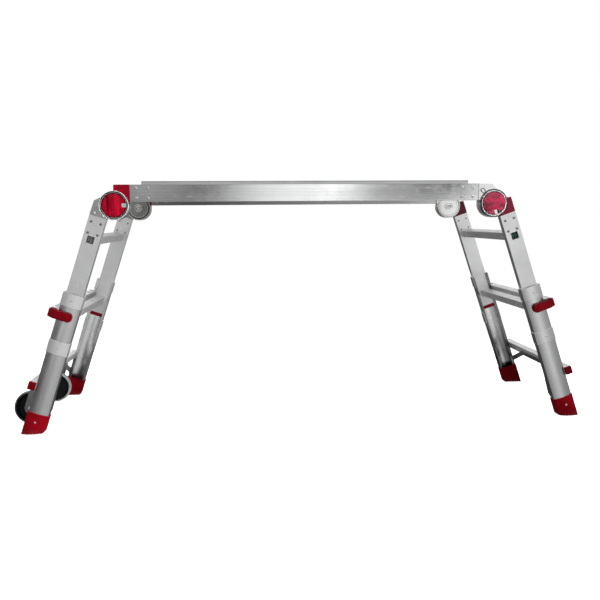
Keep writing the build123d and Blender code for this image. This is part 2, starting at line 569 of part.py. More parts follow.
for end, flip in (("near", False), ("far", True)):
    put = (lambda p: far(p)) if flip else (lambda p: p)
    save(f"left_knob_{end}", [on_deck(put(knob_1), -1)])
    save(f"right_knob_{end}", [on_leg(put(knob_1), 1)])
    save(f"left_wheel_hub_{end}", [on_leg(put(hub), -1)])
    save(f"left_wheel_tyre_{end}", [on_leg(put(tyre), -1)])
save("left_wheel_brackets", [on_leg(p, -1) for p in both(bracket)])
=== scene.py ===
import math

import bmesh
import bpy
from mathutils import Matrix, Vector


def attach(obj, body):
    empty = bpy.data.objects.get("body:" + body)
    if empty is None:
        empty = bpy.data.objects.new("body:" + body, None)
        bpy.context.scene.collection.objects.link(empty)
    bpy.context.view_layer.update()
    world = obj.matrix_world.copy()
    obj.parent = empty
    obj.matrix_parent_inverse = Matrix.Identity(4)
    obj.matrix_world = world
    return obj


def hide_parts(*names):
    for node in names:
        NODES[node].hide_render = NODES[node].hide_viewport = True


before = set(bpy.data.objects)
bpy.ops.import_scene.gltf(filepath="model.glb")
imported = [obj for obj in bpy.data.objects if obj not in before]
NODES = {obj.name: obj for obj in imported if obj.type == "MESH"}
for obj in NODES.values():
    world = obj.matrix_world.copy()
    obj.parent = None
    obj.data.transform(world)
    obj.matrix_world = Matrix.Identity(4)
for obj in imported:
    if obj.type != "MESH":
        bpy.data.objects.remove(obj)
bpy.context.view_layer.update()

# ------------------------------------------------------------------ shared sizes, mm
MM = 0.001
HX, HZ, XS = 695.0, 829.2, 29.71
TH = math.radians(18.87)
SN, CS = math.sin(TH), math.cos(TH)
RUNG_N, RUNG_S, RUNG_HALF = 45.2, (144.2, 436.2), 15.5
ORUNG_S = (430.0, 716.0)
OUT_N2 = 81.0


def leg_place(side, near):
    """Leg frame: n across the rail, s down it from the hinge, y outward."""
    def put(p):
        n, s, y = p
        return Vector(((side * (HX + n * CS + s * SN) + XS) * MM, (-y if near else y) * MM, (HZ + n * SN - s * CS) * MM))
    return put


def deck_place(side, near):
    """Platform frame: n up from the hinge axis, s inward along the rail, y outward."""
    def put(p):
        n, s, y = p
        return Vector(((side * (HX - s) + XS) * MM, (-y if near else y) * MM, (HZ + n) * MM))
    return put


SIDES = (("left", -1), ("right", 1))
ENDS = (("near", True), ("far", False))


# ------------------------------------------------------------------ material kit
def new_material(name):
    m = bpy.data.materials.new(name)
    m.use_nodes = True
    nt = m.node_tree
    nt.nodes.clear()
    out = nt.nodes.new("ShaderNodeOutputMaterial")
    bsdf = nt.nodes.new("ShaderNodeBsdfPrincipled")
    nt.links.new(bsdf.outputs[0], out.inputs[0])
    return m, nt, bsdf


def node(nt, kind, **props):
    n = nt.nodes.new(kind)
    for k, v in props.items():
        setattr(n, k, v)
    return n


def coords(nt, angle=0.0, scale=(1, 1, 1)):
    """Object coordinates, turned about Y so that local X or Z runs along the piece."""
    tc = node(nt, "ShaderNodeTexCoord")
    mp = node(nt, "ShaderNodeMapping")
    mp.inputs["Rotation"].default_value = (0, angle, 0)
    mp.inputs["Scale"].default_value = scale
    nt.links.new(tc.outputs["Object"], mp.inputs["Vector"])
    return mp.outputs["Vector"]


def split(nt):
    tc = node(nt, "ShaderNodeTexCoord")
    sep = node(nt, "ShaderNodeSeparateXYZ")
    nt.links.new(tc.outputs["Object"], sep.inputs[0])
    return sep.outputs["X"], sep.outputs["Y"], sep.outputs["Z"]


def noise(nt, vec, scale, detail=4.0, rough=0.55):
    n = node(nt, "ShaderNodeTexNoise")
    n.inputs["Scale"].default_value = scale
    n.inputs["Detail"].default_value = detail
    n.inputs["Roughness"].default_value = rough
    nt.links.new(vec, n.inputs["Vector"])
    return n.outputs["Fac"]


def ramp(nt, fac, stops):
    r = node(nt, "ShaderNodeValToRGB")
    els = r.color_ramp.elements
    while len(els) < len(stops):
        els.new(0.5)
    for e, (p, c) in zip(els, stops):
        e.position = p
        e.color = (*c, 1.0) if len(c) == 3 else c
    nt.links.new(fac, r.inputs["Fac"])
    return r.outputs["Color"]


def mix(nt, fac, a, b, mode="MIX"):
    m = node(nt, "ShaderNodeMix", data_type="RGBA", blend_type=mode)
    ins = {i.identifier: i for i in m.inputs}
    for key, v in (("Factor_Float", fac), ("A_Color", a), ("B_Color", b)):
        if hasattr(v, "links"):
            nt.links.new(v, ins[key])
        elif key == "Factor_Float":
            ins[key].default_value = v
        else:
            ins[key].default_value = (*v, 1.0)
    return [o for o in m.outputs if o.identifier == "Result_Color"][0]


def maths(nt, op, a, b=None, c=None):
    m = node(nt, "ShaderNodeMath", operation=op)
    for i, v in enumerate((a, b, c)):
        if v is None:
            continue
        if hasattr(v, "links"):
            nt.links.new(v, m.inputs[i])
        else:
            m.inputs[i].default_value = v
    return m.outputs[0]


def maprange(nt, v, a, b, c, d):
    m = node(nt, "ShaderNodeMapRange")
    nt.links.new(v, m.inputs["Value"])
    for k, x in zip(("From Min", "From Max", "To Min", "To Max"), (a, b, c, d)):
        m.inputs[k].default_value = x
    return m.outputs["Result"]


def bump(nt, bsdf, height, strength, distance):
    b = node(nt, "ShaderNodeBump")
    b.inputs["Strength"].default_value = strength
    b.inputs["Distance"].default_value = distance
    nt.links.new(height, b.inputs["Height"])
    nt.links.new(b.outputs["Normal"], bsdf.inputs["Normal"])


def tone(base, k):
    return tuple(min(1.0, v * k) for v in base)


def aluminium(name, base, rough, axis="X", angle=0.0, lines=0.5, cloud=0.5, relief=0.05, metal=1.0, marks=0.30, low_shade=None, groove=None, inner=None, lips=None, slide=None):
    """Extruded aluminium: die lines along the piece, faint clouding, odd scratches; low_shade is (low z, high z,
    amount) of painted shade inside a channel, darker towards the bottom, groove the height of a grooved top, whose
    grooves are painted darker, inner the tone of painted shade on an inner face, darker towards the left end, lips the
    tone of painted shade on a channel's lips, slide the height below which a rail is painted paler and rougher, for
    rubbing and partly as a painted sheen."""
    m, nt, bsdf = new_material(name)
    long, cross = 2.2, 620.0
    scale = {"X": (long, cross, cross), "Y": (cross, long, cross), "Z": (cross, cross, long)}[axis]
    fine = noise(nt, coords(nt, angle, scale), 1.0, 3.0, 0.6)
    wide_scale = tuple(v * (0.35 if v < 10 else 0.12) for v in scale)
    wide = noise(nt, coords(nt, angle, wide_scale), 1.0, 2.0, 0.5)
    blot = noise(nt, coords(nt), 11.0, 5.0, 0.62)
    dust = noise(nt, coords(nt), 260.0, 2.0, 0.5)
    scr_scale = tuple(v * (9.0 if v < 10 else 0.55) for v in scale)
    scr = noise(nt, coords(nt, angle + 0.09, scr_scale), 1.0, 1.0, 0.4)
    scratch = maprange(nt, scr, 0.70, 0.76, 0.0, 1.0)
    lo, hi = tone(base, 1 - 0.14 * lines), tone(base, 1 + 0.06 * lines)
    col = ramp(nt, fine, ((0.30, lo), (0.72, hi)))
    col = mix(nt, maprange(nt, wide, 0.3, 0.7, 0.0, 0.5 * lines), col, lo)
    col = mix(nt, maprange(nt, blot, 0.42, 0.75, 0.0, 0.35 * cloud), col, tone(base, 0.80))
    col = mix(nt, maprange(nt, scratch, 0.0, 1.0, 0.0, marks), col, tone(base, 1.12))
    # painted shade: an inner face is painted darker, most towards the left end and fading to the right
    if inner:
        x, y, z = split(nt)
        face = maprange(nt, maths(nt, "ABSOLUTE", y), 0.2501, 0.2508, 0.95, 0.0)
        col = mix(nt, maths(nt, "MULTIPLY", face, maprange(nt, x, -0.40, 0.22, 1.0, 0.08)), col, tone(base, inner))
    # the grooves of the top are painted darker
    if groove:
        x, y, z = split(nt)
        sunk = maths(nt, "MULTIPLY", maprange(nt, z, groove - 0.0011, groove - 0.0008, 1.0, 0.0), maprange(nt, z, groove - 0.004, groove - 0.003, 0.0, 1.0))
        col = mix(nt, maths(nt, "MULTIPLY", sunk, maprange(nt, blot, 0.3, 0.7, 0.45, 0.8)), col, tone(base, 0.25))
    # painted shade: the inside of a channel is painted dark, darker towards the bottom
    if low_shade:
        x, y, z = split(nt)
        inside = maprange(nt, maths(nt, "ABSOLUTE", y), 0.2816, 0.2826, 1.0, 0.0)
        channel_shade = maths(nt, "MULTIPLY", inside, maprange(nt, maths(nt, "ADD", z, maths(nt, "MULTIPLY", blot, 0.05)), low_shade[0], low_shade[1], low_shade[2], 0.0))
        col = mix(nt, channel_shade, col, (0.035, 0.033, 0.036))
    # below a height the rail is painted paler and rougher: rubbing where it slides, and partly a painted sheen that
    # lightens it
    if slide:
        x, y, z = split(nt)
        rub_and_sheen = maprange(nt, z, slide, slide + 0.03, 1.0, 0.0)
        col = mix(nt, maths(nt, "MULTIPLY", rub_and_sheen, maprange(nt, blot, 0.3, 0.7, 0.95, 0.75)), col, (0.98, 0.98, 0.975))
    # painted shade: the lips of a channel are painted darker
    if lips:
        x, y, z = split(nt)
        scuff_and_lip_shade = maprange(nt, maths(nt, "ABSOLUTE", y), 0.2472, 0.2478, 1.0, 0.0)
        col = mix(nt, maths(nt, "MULTIPLY", scuff_and_lip_shade, maprange(nt, blot, 0.3, 0.7, 0.75, 0.95)), col, tone(base, lips))
    nt.links.new(col, bsdf.inputs["Base Color"])
    bsdf.inputs["Metallic"].default_value = metal
    r = maprange(nt, blot, 0.3, 0.75, rough - 0.04, rough + 0.07)
    r = maths(nt, "ADD", r, maprange(nt, dust, 0.35, 0.7, -0.07 * marks, 0.10 * marks))
    r = maths(nt, "ADD", r, maprange(nt, scratch, 0.0, 1.0, 0.0, 0.27 * marks))
    if inner:
        r = maths(nt, "ADD", r, maths(nt, "MULTIPLY", face, 0.26))
    if slide:
        r = maths(nt, "ADD", r, maths(nt, "MULTIPLY", rub_and_sheen, 0.22))
    nt.links.new(r, bsdf.inputs["Roughness"])
    h = maths(nt, "ADD", fine, maths(nt, "MULTIPLY", wide, 0.8))
    h = maths(nt, "SUBTRACT", h, maths(nt, "MULTIPLY", scratch, 0.5))
    bump(nt, bsdf, h, relief, 0.0004)
    return m


def plated(name, base, rough, scale=55.0, metal=1.0):
    """Zinc-plated steel: mottled, slightly warm, with tiny pits."""
    m, nt, bsdf = new_material(name)
    blot = noise(nt, coords(nt), scale, 6.0, 0.65)
    grain = noise(nt, coords(nt), 900.0, 2.0, 0.5)
    col = ramp(nt, blot, ((0.30, tone(base, 0.78)), (0.55, base), (0.78, (base[0] * 1.10, base[1] * 1.08, base[2]))))
    nt.links.new(col, bsdf.inputs["Base Color"])
    bsdf.inputs["Metallic"].default_value = metal
    r = maprange(nt, blot, 0.3, 0.8, rough - 0.06, rough + 0.10)
    nt.links.new(r, bsdf.inputs["Roughness"])
    bump(nt, bsdf, grain, 0.10, 0.0002)
    return m


# white for painted highlights and dark for painted shadow, on the hinge rings
HIGHLIGHT_WHITE, SHADE_DARK = (0.98, 0.98, 0.975), (0.025, 0.025, 0.025)


def casting(name, base, rough, side, rims, disc, lip, groove_shade):
    """Die-cast hinge: satin skin with fine pits; rims are (inner radius, outer radius, colour, lit) of the turned
    rings, painted white as highlights and dark as shadow, the lit ones losing their metal so they stay white, disc and
    lip the colours of the inner cheek and of its rings, the cheek painted darker on the left and paler on the right as
    lit and shaded copies, groove_shade (inner radius, outer radius, amount) of painted shade in its groove."""
    m, nt, bsdf = new_material(name)
    x, y, z = split(nt)
    blot = noise(nt, coords(nt), 70.0, 6.0, 0.65)
    pits = noise(nt, coords(nt), 1100.0, 2.0, 0.5)
    dx = maths(nt, "SUBTRACT", x, (side * HX + XS) * MM)
    dz = maths(nt, "SUBTRACT", z, HZ * MM)
    rr = maths(nt, "SQRT", maths(nt, "ADD", maths(nt, "MULTIPLY", dx, dx), maths(nt, "MULTIPLY", dz, dz)))
    face = maprange(nt, maths(nt, "ABSOLUTE", y), 0.2786, 0.2789, 0.0, 1.0)
    col = ramp(nt, blot, ((0.30, tone(base, 0.82)), (0.55, base), (0.80, tone(base, 1.06))))
    depth = maths(nt, "ABSOLUTE", y)
    col = mix(nt, maprange(nt, depth, 0.2450, 0.2456, 1.0, 0.0), col, disc)
    col = mix(nt, maprange(nt, depth, 0.2430, 0.2436, 1.0, 0.0), col, lip)
    # painted shade: the groove of the inner cheek is painted dark
    sunk = maths(nt, "MULTIPLY", maprange(nt, depth, 0.2450, 0.2456, 1.0, 0.0), maths(nt, "MULTIPLY", maprange(nt, rr, groove_shade[0] * MM, (groove_shade[0] + 0.4) * MM, 0.0, 1.0), maprange(nt, rr, (groove_shade[1] - 0.4) * MM, groove_shade[1] * MM, 1.0, 0.0)))
    col = mix(nt, maths(nt, "MULTIPLY", sunk, groove_shade[2]), col, SHADE_DARK)
    painted_highlight = 0.0
    # rings of the outer face painted white as highlights and dark as shadow; metal is taken off the lit ones so they
    # stay white
    for r1, r2, c, painted_lit in rims:
        ring = maths(nt, "MULTIPLY", maprange(nt, rr, (r1 - 1.3) * MM, (r1 + 1.0) * MM, 0.0, 1.0), maprange(nt, rr, (r2 - 1.0) * MM, (r2 + 1.3) * MM, 1.0, 0.0))
        ring = maths(nt, "MULTIPLY", ring, face)
        col = mix(nt, ring, col, c)
        if painted_lit:
            painted_highlight = maths(nt, "MAXIMUM", ring, painted_highlight)
    nt.links.new(col, bsdf.inputs["Base Color"])
    nt.links.new(maths(nt, "SUBTRACT", 1.0, maths(nt, "MULTIPLY", painted_highlight, 0.95)), bsdf.inputs["Metallic"])
    r = maprange(nt, blot, 0.3, 0.8, rough - 0.04, rough + 0.08)
    nt.links.new(r, bsdf.inputs["Roughness"])
    bump(nt, bsdf, maths(nt, "MULTIPLY", pits, maths(nt, "SUBTRACT", 1.0, painted_highlight)), 0.06, 0.0002)
    return m


def plastic(name, base, rough, grain_scale=1400.0, relief=0.08, pale=0.12, spec=0.2, streak=(1, 1, 1.8), rim=None, vary=(0.70, 1.20)):
    """Moulded plastic: fine spark grain, flow clouding, rubbed pale scuffs; rim is (side, radius) of an edge round the
    hinge axis painted dark as shade.
    """
    m, nt, bsdf = new_material(name)
    flow = noise(nt, coords(nt, 0.3, streak), 22.0, 4.0, 0.6)
    grain = noise(nt, coords(nt), grain_scale, 2.0, 0.5)
    scuff_and_lip_shade = noise(nt, coords(nt, 0.9, (260, 30, 30)), 1.0, 3.0, 0.6)
    col = ramp(nt, flow, ((0.28, tone(base, vary[0])), (0.52, base), (0.76, tone(base, vary[1]))))
    scuff = maprange(nt, scuff_and_lip_shade, 0.64, 0.80, 0.0, pale)
    col = mix(nt, scuff, col, tuple(min(1.0, v * 1.4 + 0.02) for v in base))
    # painted shade: the edge round the hinge axis is painted dark
    if rim:
        x, y, z = split(nt)
        dx = maths(nt, "SUBTRACT", x, (rim[0] * HX + XS) * MM)
        dz = maths(nt, "SUBTRACT", z, HZ * MM)
        rr = maths(nt, "SQRT", maths(nt, "ADD", maths(nt, "MULTIPLY", dx, dx), maths(nt, "MULTIPLY", dz, dz)))
        col = mix(nt, maprange(nt, rr, (rim[1] - 0.8) * MM, (rim[1] + 0.6) * MM, 0.0, 0.92), col, tone(base, 0.04))
    nt.links.new(col, bsdf.inputs["Base Color"])
    r = maprange(nt, flow, 0.3, 0.75, rough - 0.05, rough + 0.08)
    r = maths(nt, "ADD", r, maths(nt, "MULTIPLY", scuff, 0.5))
    nt.links.new(r, bsdf.inputs["Roughness"])
    bsdf.inputs["Specular IOR Level"].default_value = spec
    bump(nt, bsdf, grain, relief, 0.0003)
    return m


def rubber(name, base, dust=(0.16, 0.13, 0.12), dust_top=0.02, amount=0.25, spec=0.15):
    """Matt rubber, with floor dust worked into its lowest edge."""
    m, nt, bsdf = new_material(name)
    flow = noise(nt, coords(nt), 40.0, 5.0, 0.6)
    grain = noise(nt, coords(nt), 800.0, 3.0, 0.6)
    col = ramp(nt, flow, ((0.30, tone(base, 0.70)), (0.55, base), (0.80, tone(base, 1.22))))
    x, y, z = split(nt)
    low = maprange(nt, z, 0.0, dust_top, amount, 0.0)
    low = maths(nt, "MULTIPLY", low, maprange(nt, flow, 0.35, 0.75, 0.15, 1.0))
    col = mix(nt, low, col, dust)
    nt.links.new(col, bsdf.inputs["Base Color"])
    r = maprange(nt, flow, 0.3, 0.8, 0.42, 0.60)
    nt.links.new(r, bsdf.inputs["Roughness"])
    bsdf.inputs["Specular IOR Level"].default_value = spec
    bump(nt, bsdf, grain, 0.14, 0.0004)
    return m


MAT = {
    # the platform rails carry painted shade on their inner faces
    "rail": aluminium("platform_rail_aluminium", (0.83, 0.835, 0.84), 0.08, "X", 0.0, 1.6, 0.7, 0.10, inner=0.26),
    # both inner rails are painted paler low down: rubbing, and partly a painted sheen
    "inner_left": aluminium("left_inner_aluminium", (0.86, 0.865, 0.865), 0.30, "Z", -TH, 0.40, 0.8, 0.02, slide=0.505),
    "inner_right": aluminium("right_inner_aluminium", (0.86, 0.865, 0.865), 0.30, "Z", TH, 0.40, 0.8, 0.02, slide=0.505),
    # the right outer rails are painted a little paler than the left: lit and shaded copies
    "outer_left": aluminium("left_outer_aluminium", (0.80, 0.805, 0.805), 0.24, "Z", -TH, 0.15, 0.7, 0.002, marks=0.03),
    "outer_right": aluminium("right_outer_aluminium", (0.84, 0.845, 0.845), 0.26, "Z", TH, 0.15, 0.7, 0.002, marks=0.03),
    # both channels carry painted shade low down inside and on their lips, the right one more
    "channel_left": aluminium("left_channel_aluminium", (0.95, 0.955, 0.955), 0.25, "Z", -TH, 0.20, 0.9, 0.004, marks=0.05, low_shade=(0.02, 0.14, 0.4), lips=0.70),
    "channel_right": aluminium("right_channel_aluminium", (0.95, 0.955, 0.955), 0.25, "Z", TH, 0.20, 0.9, 0.004, marks=0.05, low_shade=(0.17, 0.30, 0.72), lips=0.10),
    # the right collars are painted a little paler than the left: lit and shaded copies
    "collar_left": aluminium("left_collar_aluminium", (0.80, 0.805, 0.805), 0.36, "Y", 0.0, 0.2, 0.5, 0.01, 0.82),
    "collar_right": aluminium("right_collar_aluminium", (0.86, 0.865, 0.865), 0.28, "Y", 0.0, 0.15, 0.6, 0.004, 0.97, marks=0.05),
    "rung": aluminium("rung_aluminium", (0.88, 0.885, 0.89), 0.40, "Y", 0.0, 0.7, 0.8, 0.05, 0.80),
    "deck": aluminium("deck_aluminium", (0.66, 0.665, 0.67), 0.40, "X", 0.0, 0.9, 0.5, 0.05, marks=0.06, groove=0.9141),
    "cross": aluminium("cross_member_aluminium", (0.66, 0.665, 0.67), 0.34, "Y", 0.0, 0.6, 0.7, 0.06),
    # the left and right forks are lit and shaded copies of one casting: the left painted darker, the right near white,
    # and their inner cheeks likewise
    "fork_left": casting("left_fork_casting", (0.50, 0.50, 0.495), 0.20, -1,
                         ((0.0, 42.5, (0.85, 0.85, 0.845), False), (43.6, 44.2, SHADE_DARK, False), (44.5, 45.7, (0.62, 0.62, 0.62), True), (45.6, 48.5, tone(SHADE_DARK, 3.2), False), (49.6, 52.6, HIGHLIGHT_WHITE, True)), (0.36, 0.36, 0.345), (0.90, 0.90, 0.89), (42.6, 47.6, 0.75)),
    "fork_right": casting("right_fork_casting", (0.92, 0.92, 0.915), 0.20, 1,
                          ((43.6, 44.2, SHADE_DARK, False), (48.4, 52.4, tone(SHADE_DARK, 2.0), False), (44.4, 47.7, HIGHLIGHT_WHITE, True)), (0.98, 0.98, 0.975), (0.90, 0.90, 0.895), (44.8, 47.4, 0.66)),
    "core": plated("hinge_core_casting", (0.66, 0.66, 0.655), 0.36),
    "steel": plated("plated_steel", (0.66, 0.66, 0.65), 0.32),
    # the left and right axles are lit and shaded copies: the left painted darker, the right near white
    "axle_left": plated("left_axle_steel", (0.50, 0.50, 0.49), 0.22),
    "axle_right": plated("right_axle_steel", (0.97, 0.97, 0.965), 0.20),
    "dark_steel": plated("dark_bar_steel", (0.34, 0.335, 0.35), 0.36),
    "bracket": plated("wheel_bracket_steel", (0.30, 0.29, 0.31), 0.34),
    "rivet": plated("rivet_aluminium", (0.93, 0.93, 0.93), 0.30, 400.0),
    # the same pop rivets: on the platform and the forks painted white as a highlight, on the legs painted dark as shade
    "rivet_white": plated("rivet_aluminium_painted_highlight", (0.95, 0.95, 0.95), 0.28, 400.0, 0.45),
    "rivet_leg": plated("rivet_painted_shade", (0.42, 0.42, 0.42), 0.28, 400.0),
    # painted shade: the holes of the rivets and plugs and the recesses of the screws are painted dark
    "hole": plated("rivet_hole_painted_shade", (0.10, 0.10, 0.10), 0.5, 400.0),
    "wire": plated("spring_wire", (0.30, 0.31, 0.30), 0.3, 400.0),
    "weld": plated("weld_bead_aluminium", (0.74, 0.74, 0.735), 0.34, 500.0),
    "red": plastic("red_plastic", (0.112, 0.0015, 0.004), 0.40, spec=0.08),
    "lip": plastic("red_lip_plastic", (0.34, 0.003, 0.020), 0.35, spec=0.10),
    # lit and shaded copies: the left covers are painted a paler red and the right ones a dark red
    "cover_left": plastic("left_cover_plastic", (0.40, 0.003, 0.020), 0.16, spec=0.14),
    "cover_right": plastic("right_cover_plastic", (0.13, 0.004, 0.016), 0.16, spec=0.25),
    # lit and shaded copies: the right knob is painted paler and pinker than the left, a painted reflection; both have
    # painted shade at their edge
    "knob_left": plastic("left_knob_plastic", (0.50, 0.003, 0.024), 0.14, spec=0.12, streak=(4, 1, 0.5), rim=(-1, 40.6), vary=(0.30, 1.55)),
    "knob_right": plastic("right_knob_plastic", (0.42, 0.016, 0.060), 0.14, spec=0.6, streak=(1.6, 1, 2.6), rim=(1, 41.6), vary=(0.20, 1.60)),
    "boot": rubber("red_rubber", (0.24, 0.0025, 0.008), spec=0.06),
    "black": plastic("black_plastic", (0.006, 0.007, 0.008), 0.40, pale=0.05, spec=0.2),
    # lit and shaded copies: the left plugs are painted a lit grey, the right a shaded dark green
    "plug_left": plastic("plug_plastic_painted_lit", (0.10, 0.10, 0.097), 0.45, pale=0.1, spec=0.2),
    "plug_right": plastic("plug_plastic_painted_shade", (0.022, 0.050, 0.038), 0.45, pale=0.1, spec=0.2),
    "tyre": rubber("grey_rubber", (0.40, 0.41, 0.41), dust_top=0.12, amount=0.2, spec=0.3),
}


def paint(node_name, key):
    o = NODES[node_name]
    o.data.materials.clear()
    o.data.materials.append(MAT[key])
    for p in o.data.polygons:
        p.material_index = 0


for n in ("platform_rail_near", "platform_rail_far"):
    paint(n, "rail")
paint("deck_planks", "deck")
paint("deck_cross_members", "cross")
for name, side in SIDES:
    for end, near in ENDS:
        paint(f"{name}_inner_rail_{end}", f"inner_{name}")
        paint(f"{name}_outer_rail_{end}", f"outer_{name}" if near else f"channel_{name}")
        paint(f"{name}_lever_{end}", "red")
        paint(f"{name}_lock_pin_{end}", "steel")
        paint(f"{name}_knob_{end}", f"knob_{name}")
    paint(f"{name}_inner_rungs", "rung")
    paint(f"{name}_inner_end_caps", "lip")
    paint(f"{name}_collars", f"collar_{name}")
    paint(f"{name}_outer_rungs", "rung")
    paint(f"{name}_rung_caps", "red")
    paint(f"{name}_braces", "dark_steel")
    paint(f"{name}_feet", "boot")
    paint(f"{name}_lock_guides", "steel")
    paint(f"{name}_lock_springs", "steel")
    paint(f"{name}_hinge_cores", "core")
    paint(f"{name}_hinge_covers", f"cover_{name}")
    paint(f"{name}_hinge_axles", f"axle_{name}")
    paint(f"{name}_knob_springs", "steel")
    paint(f"{name}_hinge_forks", f"fork_{name}")
for end, near in ENDS:
    paint(f"left_wheel_hub_{end}", "black")
    paint(f"left_wheel_tyre_{end}", "tyre")
paint("left_wheel_brackets", "bracket")


# ------------------------------------------------------------------ mesh kit for the small pieces
def finish_piece(name, bm, mats, body, angle=40.0):
    bmesh.ops.recalc_face_normals(bm, faces=bm.faces[:])
    me = bpy.data.meshes.new(name)
    bm.to_mesh(me)
    bm.free()
    for k in mats:
        me.materials.append(MAT[k])
    for p in me.polygons:
        p.use_smooth = True
    me.set_sharp_from_angle(angle=math.radians(angle))
    o = bpy.data.objects.new(name, me)
    bpy.context.scene.collection.objects.link(o)
    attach(o, body)
    return o


def lathe(bm, put, n, s, profile, seg=24, mat=0, dark_from=None):
    """Closed turned piece about the cross axis at (n, s); profile is (radius, y), from axis to axis."""
    rings = []
    for r, y in profile:
        if r <= 0:
            rings.append([bm.verts.new(put((n, s, y)))])
        else:
            rings.append([bm.verts.new(put((n + r * math.cos(a), s + r * math.sin(a), y)))
                          for a in (2 * math.pi * k / seg for k in range(seg))])
    for i in range(len(rings) - 1):
        a, b = rings[i], rings[i + 1]
        m = mat if dark_from is None or i < dark_from else mat + 1
        for k in range(seg):
            j = (k + 1) % seg
            if len(a) == 1 and len(b) == 1:
                continue
            if len(a) == 1:
                f = bm.faces.new((a[0], b[k], b[j]))
            elif len(b) == 1:
                f = bm.faces.new((a[k], a[j], b[0]))
            else:
                f = bm.faces.new((a[k], a[j], b[j], b[k]))
            f.material_index = m


def sweep(bm, points, frames, section, closed):
    """Closed section carried along points; frames give the two section axes at each point."""
    rings = []
    for p, (u, v), k in zip(points, frames, range(len(points))):
        scale = section[1][k] if isinstance(section[1], list) else 1.0
        rings.append([bm.verts.new(p + u * (a * scale) + v * (b * scale)) for a, b in section[0]])
    count = len(rings) if closed else len(rings) - 1
    m = len(section[0])
    for i in range(count):
        a, b = rings[i], rings[(i + 1) % len(rings)]
        for k in range(m):
            j = (k + 1) % m
            bm.faces.new((a[k], a[j], b[j], b[k]))
    if not closed:
        bm.faces.new(rings[0])
        bm.faces.new(rings[-1][::-1])


def circle(r, seg=10):
    return [(r * math.cos(2 * math.pi * k / seg), r * math.sin(2 * math.pi * k / seg)) for k in range(seg)]


def rounded_square(half, r, seg=5):
    """Outline round the middle, with the outward direction at each point."""
    out = []
    for cx, cy, a0 in ((1, 1, 0), (-1, 1, 90), (-1, -1, 180), (1, -1, 270)):
        for k in range(seg + 1):
            a = math.radians(a0 + 90.0 * k / seg)
            out.append((cx * (half - r) + r * math.cos(a), cy * (half - r) + r * math.sin(a), math.cos(a), math.sin(a)))
    return out


def square_bead(bm, put, n0, s0, y, half, corner, section):
    """Section swept round a square tube; section axes are outward and along y, in mm."""
    pts, frames = [], []
    for a, b, ca, cb in rounded_square(half, corner):
        p = put((n0 + a, s0 + b, y))
        u = put((n0 + a + ca, s0 + b + cb, y)) - p
        v = put((n0 + a, s0 + b, y + 1.0)) - p
        pts.append(p)
        frames.append((u, v))
    sweep(bm, pts, frames, (section, None), True)


def weld(bm, put, n, s, y1, y2, r, seed):
    """Rippled weld bead along y, in the corner at (n, s)."""
    steps = 44
    pts, frames, scales = [], [], []
    for k in range(steps + 1):
        t = k / steps
        y = y1 + (y2 - y1) * t
        end = min(1.0, 0.35 + 6.0 * min(t, 1 - t))
        wob = 1.0 + 0.16 * math.sin(2 * math.pi * t * 11 + seed) + 0.05 * math.sin(37.0 * t + 2.1 * seed)
        p = put((n, s, y))
        pts.append(p)
        frames.append((put((n + 1, s, y)) - p, put((n, s + 1, y)) - p))
        scales.append(end * wob)
    sweep(bm, pts, frames, (circle(r, 10), scales), False)


def pop_rivet(r, top):
    """Pop rivet: shank, flange, dome and the hole of its mandrel; the dome ends at y = top."""
    h = top - 275.2
    return [(0, 272.0), (2.4, 272.0), (2.4, 274.9), (r - 0.1, 274.9), (r, 275.2), (0.92 * r, 275.2 + 0.42 * h), (0.73 * r, 275.2 + 0.76 * h),
            (0.52 * r, 275.2 + 0.95 * h), (0.33 * r, top), (0.27 * r, top - 0.3), (0.24 * r, top - 0.9), (0, top - 1.0)]


SPOTS = [(n, s) for n in (25.5, 60.5) for s in (79.0, 120.5)]
TAIL = [(0, 251.5), (3.6, 251.5), (3.8, 249.8), (3.5, 249.0), (2.6, 248.5), (1.4, 248.35), (1.1, 248.9), (0, 248.95)]

# pop rivets of the hinge tongues
bm = bmesh.new()
for name, side in SIDES:
    for end, near in ENDS:
        for n, s in SPOTS:
            lathe(bm, deck_place(side, near), n, s, pop_rivet(5.3, 277.3), dark_from=9)
            lathe(bm, deck_place(side, near), n, s, TAIL, 20, dark_from=5)
o = finish_piece("platform_pop_rivets", bm, ("rivet_white", "hole"), "platform")
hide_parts("platform_rivets")
for name, side in SIDES:
    bm = bmesh.new()
    for end, near in ENDS:
        for n, s in SPOTS:
            lathe(bm, leg_place(side, near), n, s, pop_rivet(5.0, 276.6), dark_from=9)
            lathe(bm, leg_place(side, near), n, s, TAIL, 20, dark_from=5)
    o = finish_piece(f"{name}_leg_pop_rivets", bm, ("rivet_leg", "hole"), f"{name}_upper_leg")
    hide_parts(f"{name}_inner_rivets")

# round-head rivets on the outer cheeks of the left-hand forks
bm = bmesh.new()
for end, near in ENDS:
    for n, s in ((57.0, 46.0), (33.0, 44.5)):
        lathe(bm, leg_place(-1, near), n, s, [(0, 278.6), (4.2, 278.6), (4.2, 279.7), (3.8, 280.7), (2.7, 281.5), (1.2, 281.9), (0, 281.95)], 20)
finish_piece("left_fork_rivets", bm, ("rivet_white",), "left_upper_leg")

